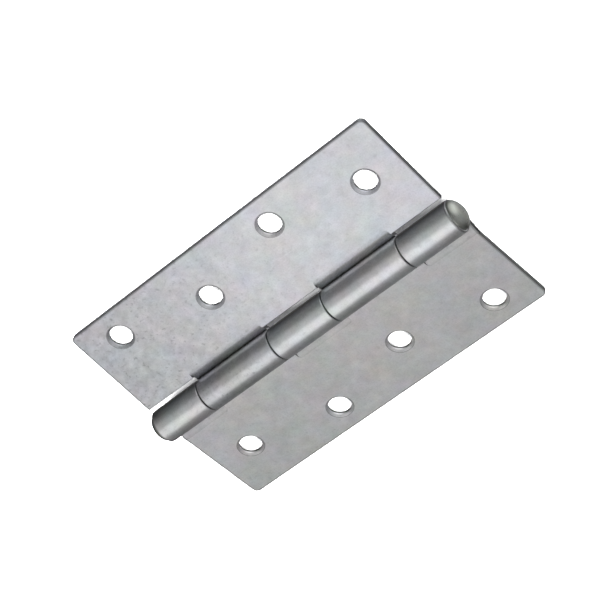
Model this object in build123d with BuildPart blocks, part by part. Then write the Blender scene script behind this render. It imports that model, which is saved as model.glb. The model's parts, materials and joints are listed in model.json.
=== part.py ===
from build123d import *
import os
from math import acos, asin, atan2, cos, degrees, hypot, sin

# A pressed-steel butt hinge: two leaves with five knuckles between them, on a pin riveted at both ends.
# It lies open with its barrel up, resting on the barrel and on both outer edges.
# X runs along the pin, +Y is the side of the two-knuckle leaf, Z is up, and Z = 0 is the table.
# Each leaf is drawn in its own frame, whose origin is the pin axis: x runs along the pin,
# u points out along the leaf and v points off its face, which is the side the screws go in from.

# Driving dimensions, in millimetres and degrees
leaf_length = 100.0
leaf_reach = 34.1
sheet = 1.5
leaf_drop = 0.7
corner_radius = 1.6
pin_radius = 3.05
pin_clearance = 0.06
head_radius = 4.1
head_height = 2.2
neck_start = 8.0
neck_radius = 3.8
neck_corner_radius = 1.5
roll_end_angle = -18.0
end_knuckle = 16.0
middle_knuckle = 18.4
knuckle_gap = 0.35
notch_clearance = 1.1
screw_radius = 3.05
sink_radius = 3.55
sink_angle = 90.0
first_hole_from_end = 10.9
second_hole_from_end = 37.0
inner_row = 20.7
outer_row = 26.6
edge_round = 0.25
rim_round = 0.15
tolerance = 0.001

# Worked out from them
half_length = leaf_length / 2
bore_radius = pin_radius + pin_clearance
barrel_radius = bore_radius + sheet
back_drop = leaf_drop + sheet
notch_reach = barrel_radius + notch_clearance

# Each leaf droops until the barrel and both outer edges rest on the table.
droop = asin(barrel_radius / hypot(leaf_reach, back_drop)) - atan2(back_drop, leaf_reach)

# The neck bends down from the flat of the leaf and runs straight to where it meets the roll round the pin.
neck_v = -leaf_drop - sheet / 2 - neck_radius
bend_and_roll = neck_radius + bore_radius + sheet / 2
neck_angle = degrees(atan2(neck_v, neck_start) - acos(bend_and_roll / hypot(neck_start, neck_v)))
roll_sweep = neck_angle - roll_end_angle + 360

# Where each knuckle ends along the barrel, and which leaf it belongs to. The list runs past both ends
# of the barrel, because the end knuckles are cut off there together with the leaf.
knuckle_ends = [
    -half_length - neck_start,
    end_knuckle - half_length,
    -middle_knuckle / 2,
    middle_knuckle / 2,
    half_length - end_knuckle,
    half_length + neck_start,
]
spans = list(zip(knuckle_ends, knuckle_ends[1:]))
three_spans = spans[0::2]
two_spans = spans[1::2]

# Screw holes zigzag between two rows, the same on both leaves when each is seen from its outer edge.
first_x = half_length - first_hole_from_end
second_x = half_length - second_hole_from_end
hole_points = [(-first_x, outer_row), (-second_x, inner_row), (second_x, outer_row), (first_x, inner_row)]


def leaf_plane(side, height):
    """Plane parallel to a leaf's face, height off the pin axis: x along the pin, y out along the leaf."""
    up = Vector(0, side * sin(droop), cos(droop))
    return Plane(origin=Vector(0, 0, barrel_radius) + up * height, x_dir=(side, 0, 0), z_dir=up)


def section_plane(side):
    """Plane of a leaf's section at its end: x is u, y is v, and the normal runs along the leaf."""
    across = leaf_plane(side, 0)
    end = across.origin - across.x_dir * half_length
    return Plane(origin=end, x_dir=across.y_dir, z_dir=across.x_dir)


def has_radius(edge, radius):
    return edge.geom_type == GeomType.CIRCLE and abs(edge.radius - radius) < tolerance


def is_lip(edge):
    """The outer edge of the roll's free end, which is the one that lies high on the barrel."""
    middle = edge.center()
    from_pin = hypot(middle.Y, middle.Z - barrel_radius)
    return abs(from_pin - barrel_radius) < tolerance and middle.Z > barrel_radius / 2


# Section of a leaf's neck: bent down from the flat, then straight to the roll
with BuildSketch() as neck_section:
    with BuildLine():
        top_bend = CenterArc((neck_start, neck_v), neck_radius + sheet / 2, 90, 90 + neck_angle)
        back_bend = CenterArc((neck_start, neck_v), neck_radius - sheet / 2, 90, 90 + neck_angle)
        into_roll = PolarLine((0, 0), barrel_radius, neck_angle, mode=Mode.PRIVATE)
        Line(top_bend @ 0, back_bend @ 0)
        Line(back_bend @ 1, into_roll @ 1)
        Line(into_roll @ 1, into_roll @ (bore_radius / barrel_radius))
        Line(into_roll @ (bore_radius / barrel_radius), top_bend @ 1)
    make_face()

# Section of the roll, nearly closed round the pin
with BuildSketch() as roll_section:
    with BuildLine():
        outside = CenterArc((0, 0), barrel_radius, neck_angle, -roll_sweep)
        inside = CenterArc((0, 0), bore_radius, neck_angle, -roll_sweep)
        Line(outside @ 0, inside @ 0)
        Line(outside @ 1, inside @ 1)
    make_face()

os.makedirs("parts", exist_ok=True)

# The two leaves: which side each lies on, and which knuckles are its own
leaves = {"two_knuckle_leaf": (1, two_spans), "three_knuckle_leaf": (-1, three_spans)}

for label, (side, own_spans) in leaves.items():
    axle_plane = leaf_plane(side, 0)
    outward = Axis(axle_plane.origin, axle_plane.y_dir)
    upright = Axis(axle_plane.origin, axle_plane.z_dir)

    # Where the leaf is bent: a patch for each of its knuckles, with rounded corners out on the flat
    with BuildSketch() as bent_patches:
        for start, end in own_spans:
            with Locations(((start + end) / 2, 0)):
                Rectangle(end - start - knuckle_gap, 2 * neck_start)
        fillet(bent_patches.vertices(), neck_corner_radius)

    with BuildPart() as necks:
        with BuildSketch(section_plane(side)):
            add(neck_section.sketch)
        extrude(amount=leaf_length)
        with BuildSketch(leaf_plane(side, 2 * barrel_radius)):
            add(bent_patches.sketch)
        extrude(amount=-4 * barrel_radius, mode=Mode.INTERSECT)

    with BuildPart() as rolls:
        with BuildSketch(section_plane(side)):
            add(roll_section.sketch)
        extrude(amount=leaf_length)
        with BuildSketch(leaf_plane(side, 2 * barrel_radius)):
            add(bent_patches.sketch)
        extrude(amount=-4 * barrel_radius, mode=Mode.INTERSECT)
        sheared = rolls.edges().filter_by(lambda edge: has_radius(edge, barrel_radius))
        sheared += rolls.edges().filter_by(Axis.X).filter_by(is_lip)
        fillet(sheared, edge_round)

    with BuildPart() as leaf:
        # The flat, as far in as the other leaf's knuckles let it, with its outer corners and its rims rounded
        with BuildSketch(section_plane(side)):
            with BuildLine():
                Polyline(
                    (notch_reach, -leaf_drop),
                    (leaf_reach, -leaf_drop),
                    (leaf_reach, -back_drop),
                    (notch_reach, -back_drop),
                    close=True,
                )
            make_face()
        extrude(amount=leaf_length)
        fillet(leaf.edges().filter_by(upright).group_by(outward)[-1], corner_radius)
        fillet(leaf.faces().filter_by(outward).edges().filter_by(Axis.X), edge_round)
        with BuildSketch(leaf_plane(side, 2 * barrel_radius)):
            add(bent_patches.sketch)
        extrude(amount=-4 * barrel_radius, mode=Mode.SUBTRACT)
        add([necks.part, rolls.part])

        # Countersunk screw holes, opening on the face
        with Locations(leaf_plane(side, -leaf_drop)):
            with Locations(*hole_points):
                CounterSinkHole(screw_radius, sink_radius, 2 * sheet, sink_angle)
        sink_rims = leaf.edges().filter_by(lambda edge: has_radius(edge, sink_radius))
        fillet(sink_rims, rim_round)

    leaf.part.label = label
    export_step(leaf.part, f"parts/{label}.step")

# The pin: a plain shank with a domed head formed at each end, tight against the end knuckles
with BuildPart() as hinge_pin:
    with BuildSketch(Plane(origin=(0, 0, barrel_radius), x_dir=(1, 0, 0), z_dir=(0, -1, 0))):
        with BuildLine():
            Polyline((0, pin_radius), (0, 0), (half_length + head_height, 0))
            EllipticalCenterArc((half_length, 0), head_height, head_radius, arc_size=90)
            Polyline((half_length, head_radius), (half_length, pin_radius), (0, pin_radius))
        make_face()
        mirror(about=Plane.YZ)
    revolve(axis=Axis((0, 0, barrel_radius), (1, 0, 0)))

hinge_pin.part.label = "hinge_pin"
export_step(hinge_pin.part, "parts/hinge_pin.step")
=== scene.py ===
import json
from math import cos, pi, radians, sin, tan

import bpy
from mathutils import Matrix, Vector


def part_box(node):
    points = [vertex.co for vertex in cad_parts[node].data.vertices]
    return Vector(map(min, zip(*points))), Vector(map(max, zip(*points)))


# A pressed-steel butt hinge lying open on a white floor, barrel up. X runs along the pin, +Y is the side
# of the two-knuckle leaf. The leaves are dull zinc, rubbed brighter on the barrel; the pin is darker steel.
# Lengths are in metres unless their names end in _mm. The patterns of the materials are in millimetres.

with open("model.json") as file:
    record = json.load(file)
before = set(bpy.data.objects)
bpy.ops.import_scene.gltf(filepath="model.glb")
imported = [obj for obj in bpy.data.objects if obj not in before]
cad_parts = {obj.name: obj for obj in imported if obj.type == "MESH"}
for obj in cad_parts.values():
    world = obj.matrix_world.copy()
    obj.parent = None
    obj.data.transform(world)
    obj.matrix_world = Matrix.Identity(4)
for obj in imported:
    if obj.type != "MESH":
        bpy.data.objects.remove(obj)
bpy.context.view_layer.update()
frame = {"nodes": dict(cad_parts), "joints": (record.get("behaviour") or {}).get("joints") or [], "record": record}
record = frame["record"]
nodes = frame["nodes"]
pin_height = frame["joints"][0]["pos_m"][2]
scene = bpy.context.scene

MM = 0.001
barrel_radius_mm = pin_height / MM

# Sizes that the frame doesn't give: the leaves' round corners, the mouth of a countersink, the strip along
# the pin that the bent necks lie in, and the domed heads. Then how far along a leaf its tarnish goes.
corner_radius_mm = 1.6
sink_radius_mm = 3.55
neck_reach_mm = 8.6
head_radius_mm = 4.1
tarnish_end_mm = 20.0

# Colours of the metals: the zinc where the barrel is rubbed, and the steel of the pin
rubbed_zinc = (0.74, 0.75, 0.76)
dull_steel = (0.50, 0.52, 0.485)

# Camera: it looks down on the hinge from beyond the +X end, on the side of the two-knuckle leaf. It is
# held almost upside down, so that the barrel rises to the right of the picture.
camera_azimuth = radians(42.844)
camera_elevation = radians(52.883)
camera_distance = 0.58704
camera_roll = radians(184.698)
camera_lens_mm = 139.878
camera_sensor_mm = 36.0
aim = Vector((0.005627, 0.005302, pin_height))

# Floor, and how far its top lies below the hinge, so that the two don't flicker where they touch
floor_size = 6.0
floor_gap = 0.2 * MM
floor_grey = 0.9
floor_roughness = 0.9

softbox_distance = 1.0

# The surroundings: where each glow is centred, how bright it is there, and the cosine of its radius.
# The first is all round, and brightest overhead. The others light the domed heads, the slits beside the
# knuckles and the hinge seen from other sides, but from this camera little of them shows in the metal.
glows = [
    ((-0.3, 0.0, 1.0), 0.28, -1.0),
    ((0.68, 0.6, -0.42), 0.9, 0.6),
    ((0.0, 0.0, -1.0), 0.18, 0.2),
    ((0.5, -0.2, -0.85), 0.27, 0.5),
    ((1.0, 0.2, 0.25), 0.33, 0.2),
]


def add_camera():
    data = bpy.data.cameras.new("camera")
    data.lens = camera_lens_mm
    data.sensor_width = camera_sensor_mm
    data.clip_start = 0.01
    data.clip_end = 10.0
    back_x = cos(camera_azimuth) * cos(camera_elevation)
    back_y = sin(camera_azimuth) * cos(camera_elevation)
    back = Vector((back_x, back_y, sin(camera_elevation)))
    right = Vector((0, 0, 1)).cross(back).normalized()
    up = back.cross(right)
    level = Matrix((right, up, back)).transposed()
    turned = level @ Matrix.Rotation(camera_roll, 3, "Z")
    camera = bpy.data.objects.new("camera", data)
    camera.matrix_world = Matrix.Translation(aim + back * camera_distance) @ turned.to_4x4()
    scene.collection.objects.link(camera)
    scene.camera = camera


def add_floor():
    """A white floor. The metal doesn't mirror it, so that the sides of the barrel stay dark."""
    bpy.ops.mesh.primitive_plane_add(size=floor_size, location=(0, 0, -floor_gap))
    floor = bpy.context.object
    floor.name = "floor"
    floor.visible_glossy = False
    material = bpy.data.materials.new("floor")
    material.use_nodes = True
    shader = material.node_tree.nodes["Principled BSDF"]
    shader.inputs["Base Color"].default_value = (floor_grey, floor_grey, floor_grey, 1)
    shader.inputs["Roughness"].default_value = floor_roughness
    floor.data.materials.append(material)


def add_softbox(name, lean_x, lean_y, side, radiance, in_reflections=True):
    """Square softbox, leaning from overhead by lean_x degrees to +X and lean_y degrees to +Y, with two of
    its sides square to the barrel."""
    way = Vector((tan(radians(lean_x)), tan(radians(lean_y)), 1)).normalized()
    along = Vector((0, 1, 0)).cross(way).normalized()
    facing = Matrix((along, way.cross(along), way)).transposed()
    data = bpy.data.lights.new(name, "AREA")
    data.shape = "SQUARE"
    data.size = side
    data.energy = radiance * pi * side**2
    softbox = bpy.data.objects.new(name, data)
    softbox.matrix_world = Matrix.Translation(way * softbox_distance) @ facing.to_4x4()
    softbox.visible_glossy = in_reflections
    scene.collection.objects.link(softbox)


def add_world():
    """Black surroundings with soft grey glows."""
    world = bpy.data.worlds.new("studio")
    world.use_nodes = True
    tree = world.node_tree
    where = tree.nodes.new("ShaderNodeTexCoord")
    total = None
    for way, bright, edge in glows:
        towards = tree.nodes.new("ShaderNodeVectorMath")
        towards.operation = "DOT_PRODUCT"
        towards.inputs[1].default_value = Vector(way).normalized()
        glow = tree.nodes.new("ShaderNodeMapRange")
        glow.interpolation_type = "SMOOTHSTEP"
        glow.inputs["From Min"].default_value = edge
        glow.inputs["To Max"].default_value = bright
        tree.links.new(where.outputs["Generated"], towards.inputs[0])
        tree.links.new(towards.outputs["Value"], glow.inputs["Value"])
        if total is None:
            total = glow.outputs["Result"]
        else:
            both = tree.nodes.new("ShaderNodeMath")
            tree.links.new(total, both.inputs[0])
            tree.links.new(glow.outputs["Result"], both.inputs[1])
            total = both.outputs["Value"]
    background = tree.nodes["Background"]
    tree.links.new(total, background.inputs["Strength"])
    background.inputs["Color"].default_value = (1, 1, 1, 1)
    scene.world = world


class Metal:
    """A metal material, with a short call for each kind of node that its patterns are made of.
    Patterns are fixed to the piece: they are placed by its own coordinates, in millimetres."""

    def __init__(self, name):
        self.material = bpy.data.materials.new(name)
        self.material.use_nodes = True
        self.tree = self.material.node_tree
        self.shader = self.tree.nodes["Principled BSDF"]
        self.shader.inputs["Metallic"].default_value = 1.0
        own = self.tree.nodes.new("ShaderNodeTexCoord")
        self.place = self.vector("SCALE", own.outputs["Object"], Scale=1 / MM)
        self.facing = own.outputs["Normal"]

    def link(self, value, socket):
        if isinstance(value, bpy.types.NodeSocket):
            self.tree.links.new(value, socket)
        else:
            socket.default_value = value

    def node(self, kind, output, settings=None, **inputs):
        """Add a node, set or link its inputs by name, and return one of its outputs."""
        node = self.tree.nodes.new(kind)
        for key, value in (settings or {}).items():
            setattr(node, key, value)
        for key, value in inputs.items():
            self.link(value, node.inputs[key])
        return node.outputs[output]

    def vector(self, operation, *vectors, **inputs):
        node = self.tree.nodes.new("ShaderNodeVectorMath")
        node.operation = operation
        for value, socket in zip(vectors, node.inputs):
            self.link(value, socket)
        for key, value in inputs.items():
            self.link(value, node.inputs[key])
        return node.outputs["Value" if operation in ("LENGTH", "DOT_PRODUCT") else "Vector"]

    def math(self, operation, *values):
        node = self.tree.nodes.new("ShaderNodeMath")
        node.operation = operation
        for value, socket in zip(values, node.inputs):
            self.link(value, socket)
        return node.outputs["Value"]

    def product(self, first, *others):
        for other in others:
            first = self.math("MULTIPLY", first, other)
        return first

    def total(self, first, *others):
        for other in others:
            first = self.math("ADD", first, other)
        return first

    def along(self, vector, axis):
        """One of a vector's three parts."""
        return self.node("ShaderNodeSeparateXYZ", axis, Vector=vector)

    def less(self, *factors):
        """1, less the product of the factors."""
        return self.math("SUBTRACT", 1.0, self.product(*factors))

    def higher(self, first, second):
        return self.math("MAXIMUM", first, second)

    def ramp(self, value, low, high, at_low=0.0, at_high=1.0):
        """at_low up to low, at_high from high on, and a smooth change between them."""
        settings = {"interpolation_type": "SMOOTHSTEP"}
        inputs = {"From Min": low, "From Max": high, "To Min": at_low, "To Max": at_high}
        return self.node("ShaderNodeMapRange", "Result", settings, Value=value, **inputs)

    def within(self, distance, reach, blur):
        """1 where the distance is less than reach, 0 where it is more, and blur either way between them."""
        return self.ramp(distance, reach - blur, reach + blur, 1.0, 0.0)

    def noise(self, size, detail=2.0, stretch=(1, 1, 1), shift=0.0, output="Fac"):
        """Noise about 0.5, in lumps of about that size, drawn out along the axes that stretch lengthens."""
        squeezed = [1 / length for length in stretch]
        where = self.vector("MULTIPLY_ADD", self.place, squeezed, (shift, shift, shift))
        return self.node("ShaderNodeTexNoise", output, Vector=where, Scale=1 / size, Detail=detail)

    def tint(self, size, detail, amounts):
        """A noisy factor about white, for a colour. amounts are for its three channels."""
        about_white = [1 - amount / 2 for amount in amounts]
        return self.vector("MULTIPLY_ADD", self.noise(size, detail, output="Color"), amounts, about_white)

    def around_one(self, noise, amount):
        """Turn noise about 0.5 into a factor about 1."""
        return self.math("MULTIPLY_ADD", self.math("SUBTRACT", noise, 0.5), amount, 1.0)

    def swing(self, noise, amount):
        """Turn noise about 0.5 into an addition about 0."""
        return self.product(self.math("SUBTRACT", noise, 0.5), amount)

    def from_pin(self):
        """Distance from the pin's axis."""
        across = self.vector("MULTIPLY_ADD", self.place, (0, 1, 1), (0, 0, -barrel_radius_mm))
        return self.vector("LENGTH", across)

    def finish(self, colour, shade, roughness, height_mm, node_name):
        """Feed the shader, and give the material to a node. height_mm is the relief of the surface."""
        shaded = self.vector("SCALE", colour, Scale=shade)
        bump = self.node("ShaderNodeBump", "Normal", Strength=1.0, Distance=MM, Height=height_mm)
        self.link(shaded, self.shader.inputs["Base Color"])
        self.link(roughness, self.shader.inputs["Roughness"])
        self.link(bump, self.shader.inputs["Normal"])
        materials = nodes[node_name].data.materials
        materials.clear()
        materials.append(self.material)


class LeafMetal(Metal):
    """The metal of a leaf, which knows where the leaf's features lie."""

    def __init__(self, leaf):
        super().__init__(leaf)
        self.low, self.high = (Vector(corner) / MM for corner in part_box(leaf))
        self.find_holes(leaf)
        self.from_hole = self.distance_from_hole()

        # Masks, which are 1 on their feature and 0 off it: the knuckles, the strip of leaf beside them,
        # the -X end, the cut edges, and the walls of the holes
        from_pin = self.from_pin()
        self.on_barrel = self.within(from_pin, barrel_radius_mm + 0.35, 0.25)
        self.by_barrel = self.product(self.within(from_pin, neck_reach_mm, 0.2), self.less(self.on_barrel))
        self.far_end = self.ramp(self.along(self.place, "X"), self.low.x, tarnish_end_mm, 1.0, 0.0)
        upright = self.math("ABSOLUTE", self.vector("DOT_PRODUCT", self.facing, self.off_face))
        self.on_cut = self.ramp(upright, 0.2, 0.6, 1.0, 0.0)
        self.on_wall = self.within(self.from_hole, self.hole_radius_mm + 0.125, 0.075)

    def find_holes(self, leaf):
        """Where the screw holes open on the leaf's back, and the way off its face, from the mounts."""
        self.holes = []
        for mount in record["mounts"]:
            if mount["name"].startswith(leaf) and mount["kind"] == "bolt_pattern":
                centre = Vector(mount["pos_m"]) / MM
                half = Vector((mount["dims"]["pcd_mm"] / 2, 0, 0))
                self.holes += [centre - half, centre + half]
                self.hole_radius_mm = mount["dims"]["hole_r_mm"]
                self.off_face = -Vector(mount["axis"])

    def distance_from_hole(self):
        """Distance from the nearest screw hole's axis, which is never as much as the leaf's length."""
        nearest = self.high.x - self.low.x
        for centre in self.holes:
            across = self.vector("CROSS_PRODUCT", self.vector("SUBTRACT", self.place, centre), self.off_face)
            nearest = self.math("MINIMUM", nearest, self.vector("LENGTH", across))
        return nearest

    def distance_from_edge(self):
        """Distance in from the leaf's outline, whose corners are round."""
        width = max(self.high.y, -self.low.y)
        straight = Vector((self.high.x - corner_radius_mm, width - corner_radius_mm, 0))
        past_corner = self.vector("SUBTRACT", self.vector("ABSOLUTE", self.place), straight)
        past_corner = self.vector("MULTIPLY", self.vector("MAXIMUM", past_corner, (0, 0, 0)), (1, 1, 0))
        return self.math("SUBTRACT", corner_radius_mm, self.vector("LENGTH", past_corner))

    def hairlines(self):
        """Scratches, along the leaf and across it."""
        lengthways = self.ramp(self.noise(0.35, 1.0, stretch=(30, 1.4, 1.4), shift=5.0), 0.70, 0.78)
        crossways = self.ramp(self.noise(0.35, 1.0, stretch=(1.2, 40, 40), shift=9.0), 0.71, 0.79)
        return self.total(lengthways, crossways)

    def painted_gap_shade(self):
        """Painted shade: darker in the dips and the gaps, but not on the walls of the holes, which the light
        reaches.
        """
        settings = {"only_local": True, "samples": 8}
        openness = self.node("ShaderNodeAmbientOcclusion", "AO", settings, Distance=3 * MM)
        return self.ramp(self.higher(openness, self.on_wall), 0.3, 0.9, 0.7, 1.0)

    def painted_neck_shading(self, from_slope, to_slope, shade):
        """Painted light or shade on the bent necks, brighter where shade is above 1, told by how far their surface
        leans from the leaf's face.
        """
        slope = self.vector("LENGTH", self.vector("CROSS_PRODUCT", self.facing, self.off_face))
        on_neck = self.product(self.ramp(slope, from_slope, to_slope), self.by_barrel)
        return self.math("MULTIPLY_ADD", on_neck, shade - 1.0, 1.0)

    def painted_edge_shade(self):
        """Painted shade: a dark line along the leaf's rim, dark cut ends, and darker notches round the other
        knuckles.
        """
        rim = self.higher(self.ramp(self.distance_from_edge(), 0.25, 0.65, 0.55, 1.0), self.on_cut)
        endways = self.math("ABSOLUTE", self.along(self.facing, "X"))
        spared = self.total(self.within(self.from_hole, sink_radius_mm + 0.1, 0.05), self.on_barrel)
        ends = self.higher(self.ramp(endways, 0.3, 0.8, 1.0, 0.35), spared)
        notches = self.less(self.by_barrel, self.on_cut, 0.7)
        return self.product(rim, ends, notches)

    def painted_barrel_shade(self, strength, fade_height):
        """Painted shade on the sides of the barrel. Below fade_height it fades out again."""
        height = self.along(self.place, "Z")
        above = self.ramp(height, 5.0, 7.6, strength, 0.0)
        below = self.ramp(height, fade_height - 2.0, fade_height)
        return self.less(self.on_barrel, above, below)

    def painted_hole_shading(self):
        """Painted shade and light: a dark line round each hole, its countersink and wall brighter, and the foot of
        the wall dark.
        """
        rim = self.ramp(self.from_hole, sink_radius_mm, sink_radius_mm + 0.3, 0.45, 1.0)
        sink = self.ramp(self.from_hole, sink_radius_mm - 0.05, sink_radius_mm + 0.05, 1.3, 0.0)
        from_back = self.vector("SUBTRACT", self.place, self.holes[0])
        above_back = self.vector("DOT_PRODUCT", from_back, self.off_face)
        foot = self.higher(self.ramp(above_back, 0.4, 0.7, 0.15, 1.0), self.less(self.on_wall))
        return self.product(self.higher(rim, sink), foot)


def finish_leaf(leaf, tone, neck_shading, barrel_shade, tarnish, mottle, speckle):
    """Dull zinc plate. neck is from which slope to which the painted light or shade of the bent necks changes, and
    how bright they get.
    grime is the strength of the painted shade on the barrel's sides and the height below which it fades out.
    tarnish, mottle and speckle are how much darker, blotchier and spottier the -X end is."""
    metal = LeafMetal(leaf)

    # Colour: a faintly tinted grey, brighter where the barrel is rubbed
    inputs = {"Fac": metal.on_barrel, "Color1": (*tone, 1), "Color2": (*rubbed_zinc, 1)}
    zinc = metal.node("ShaderNodeMixRGB", "Color", **inputs)
    colour = metal.vector("MULTIPLY", zinc, metal.tint(7.0, 3.0, (0.20, 0.12, 0.20)))

    # Patterns of the plating
    clouds = metal.noise(20.0, 3.0, shift=7.0)
    blotches = metal.noise(4.0, 4.0, shift=13.0)
    mottling = metal.noise(1.8, 3.0, shift=41.0)
    grain = metal.noise(0.4, 2.0)
    spots = metal.ramp(metal.noise(1.0, 3.0, shift=31.0), 0.56, 0.74)
    drawn_lines = metal.noise(0.5, 3.0, stretch=(1, 14, 14), shift=3.0)
    scratches = metal.hairlines()
    mottling_amount = metal.total(metal.product(metal.far_end, mottle), 0.2)
    spot_amount = metal.total(metal.product(metal.far_end, speckle), 0.04)

    shade = metal.product(
        metal.around_one(clouds, 0.28),
        metal.around_one(blotches, 0.32),
        metal.around_one(mottling, mottling_amount),
        metal.around_one(grain, 0.28),
        metal.less(spots, spot_amount),
        metal.less(metal.far_end, tarnish),
        metal.less(metal.on_barrel, drawn_lines, 0.10),
        metal.total(1.0, metal.product(scratches, 0.06)),
        # From here on, painted shade and painted light: darker dips, gaps, edges, barrel sides and hole feet, and
        # lighter or darker necks and countersinks
        metal.painted_gap_shade(),
        metal.painted_neck_shading(*neck_shading),
        metal.painted_edge_shade(),
        metal.painted_barrel_shade(*barrel_shade),
        metal.painted_hole_shading(),
    )
    roughness = metal.total(
        metal.ramp(metal.on_barrel, 0.0, 1.0, 0.40, 0.36),
        metal.swing(clouds, 0.12),
        metal.product(spots, 0.08),
        metal.swing(grain, 0.08),
    )
    height_mm = metal.total(
        metal.product(metal.noise(14.0, 1.0, shift=17.0), 0.06),
        metal.product(metal.noise(1.2, 2.0, shift=23.0), 0.006),
        metal.product(grain, 0.0012),
        metal.product(scratches, -0.002),
    )
    metal.finish(colour, shade, roughness, height_mm, leaf)


def finish_pin():
    """Steel dulled green-grey, with the rings that forming leaves on its domed heads."""
    metal = Metal("hinge_pin")
    from_axis = metal.from_pin()
    settings = {"noise_dimensions": "1D"}
    rings = metal.node("ShaderNodeTexNoise", "Fac", settings, W=from_axis, Scale=2.2, Detail=2.0)
    blotches = metal.noise(1.6, 3.0, shift=4.0)
    grain = metal.noise(0.3, 2.0)
    colour = metal.vector("MULTIPLY", metal.tint(2.0, 2.0, (0.12, 0.08, 0.12)), dull_steel)
    shade = metal.product(
        metal.around_one(rings, 0.20),
        metal.around_one(blotches, 0.24),
        metal.around_one(grain, 0.12),
        # Painted shade: darker towards the edge of each domed head
        metal.ramp(from_axis, 2.9, head_radius_mm, 1.0, 0.65),
    )
    roughness = metal.total(0.30, metal.swing(blotches, 0.16))
    height_mm = metal.total(metal.product(rings, 0.02), metal.product(grain, 0.002))
    metal.finish(colour, shade, roughness, height_mm, "hinge_pin")


add_camera()
add_floor()
add_world()
scene.view_settings.view_transform = "Standard"

# The first two light the metal. The others only whiten the floor, which shows through the screw holes and
# through the slit beside the knuckle at the -X end.
add_softbox("main_softbox", lean_x=-18.0, lean_y=-9.5, side=0.91, radiance=0.85)
add_softbox("side_softbox", lean_x=-18.0, lean_y=34.5, side=0.88, radiance=0.31)
add_softbox("front_floor_softbox", lean_x=30.0, lean_y=55.0, side=0.5, radiance=45.0, in_reflections=False)
add_softbox("back_floor_softbox", lean_x=30.0, lean_y=-45.0, side=0.5, radiance=40.0, in_reflections=False)
add_softbox("end_floor_softbox", lean_x=-75.0, lean_y=0.0, side=0.3, radiance=250.0, in_reflections=False)

finish_leaf(
    "two_knuckle_leaf",
    tone=(0.675, 0.68, 0.71),
    neck_shading=(0.1, 0.34, 1.6),
    barrel_shade=(0.45, 4.0),
    tarnish=0.19,
    mottle=0.35,
    speckle=0.22,
)
finish_leaf(
    "three_knuckle_leaf",
    tone=(0.66, 0.66, 0.665),
    neck_shading=(0.0, 0.09, 0.72),
    barrel_shade=(0.75, 2.5),
    tarnish=0.0,
    mottle=0.0,
    speckle=0.05,
)
finish_pin()
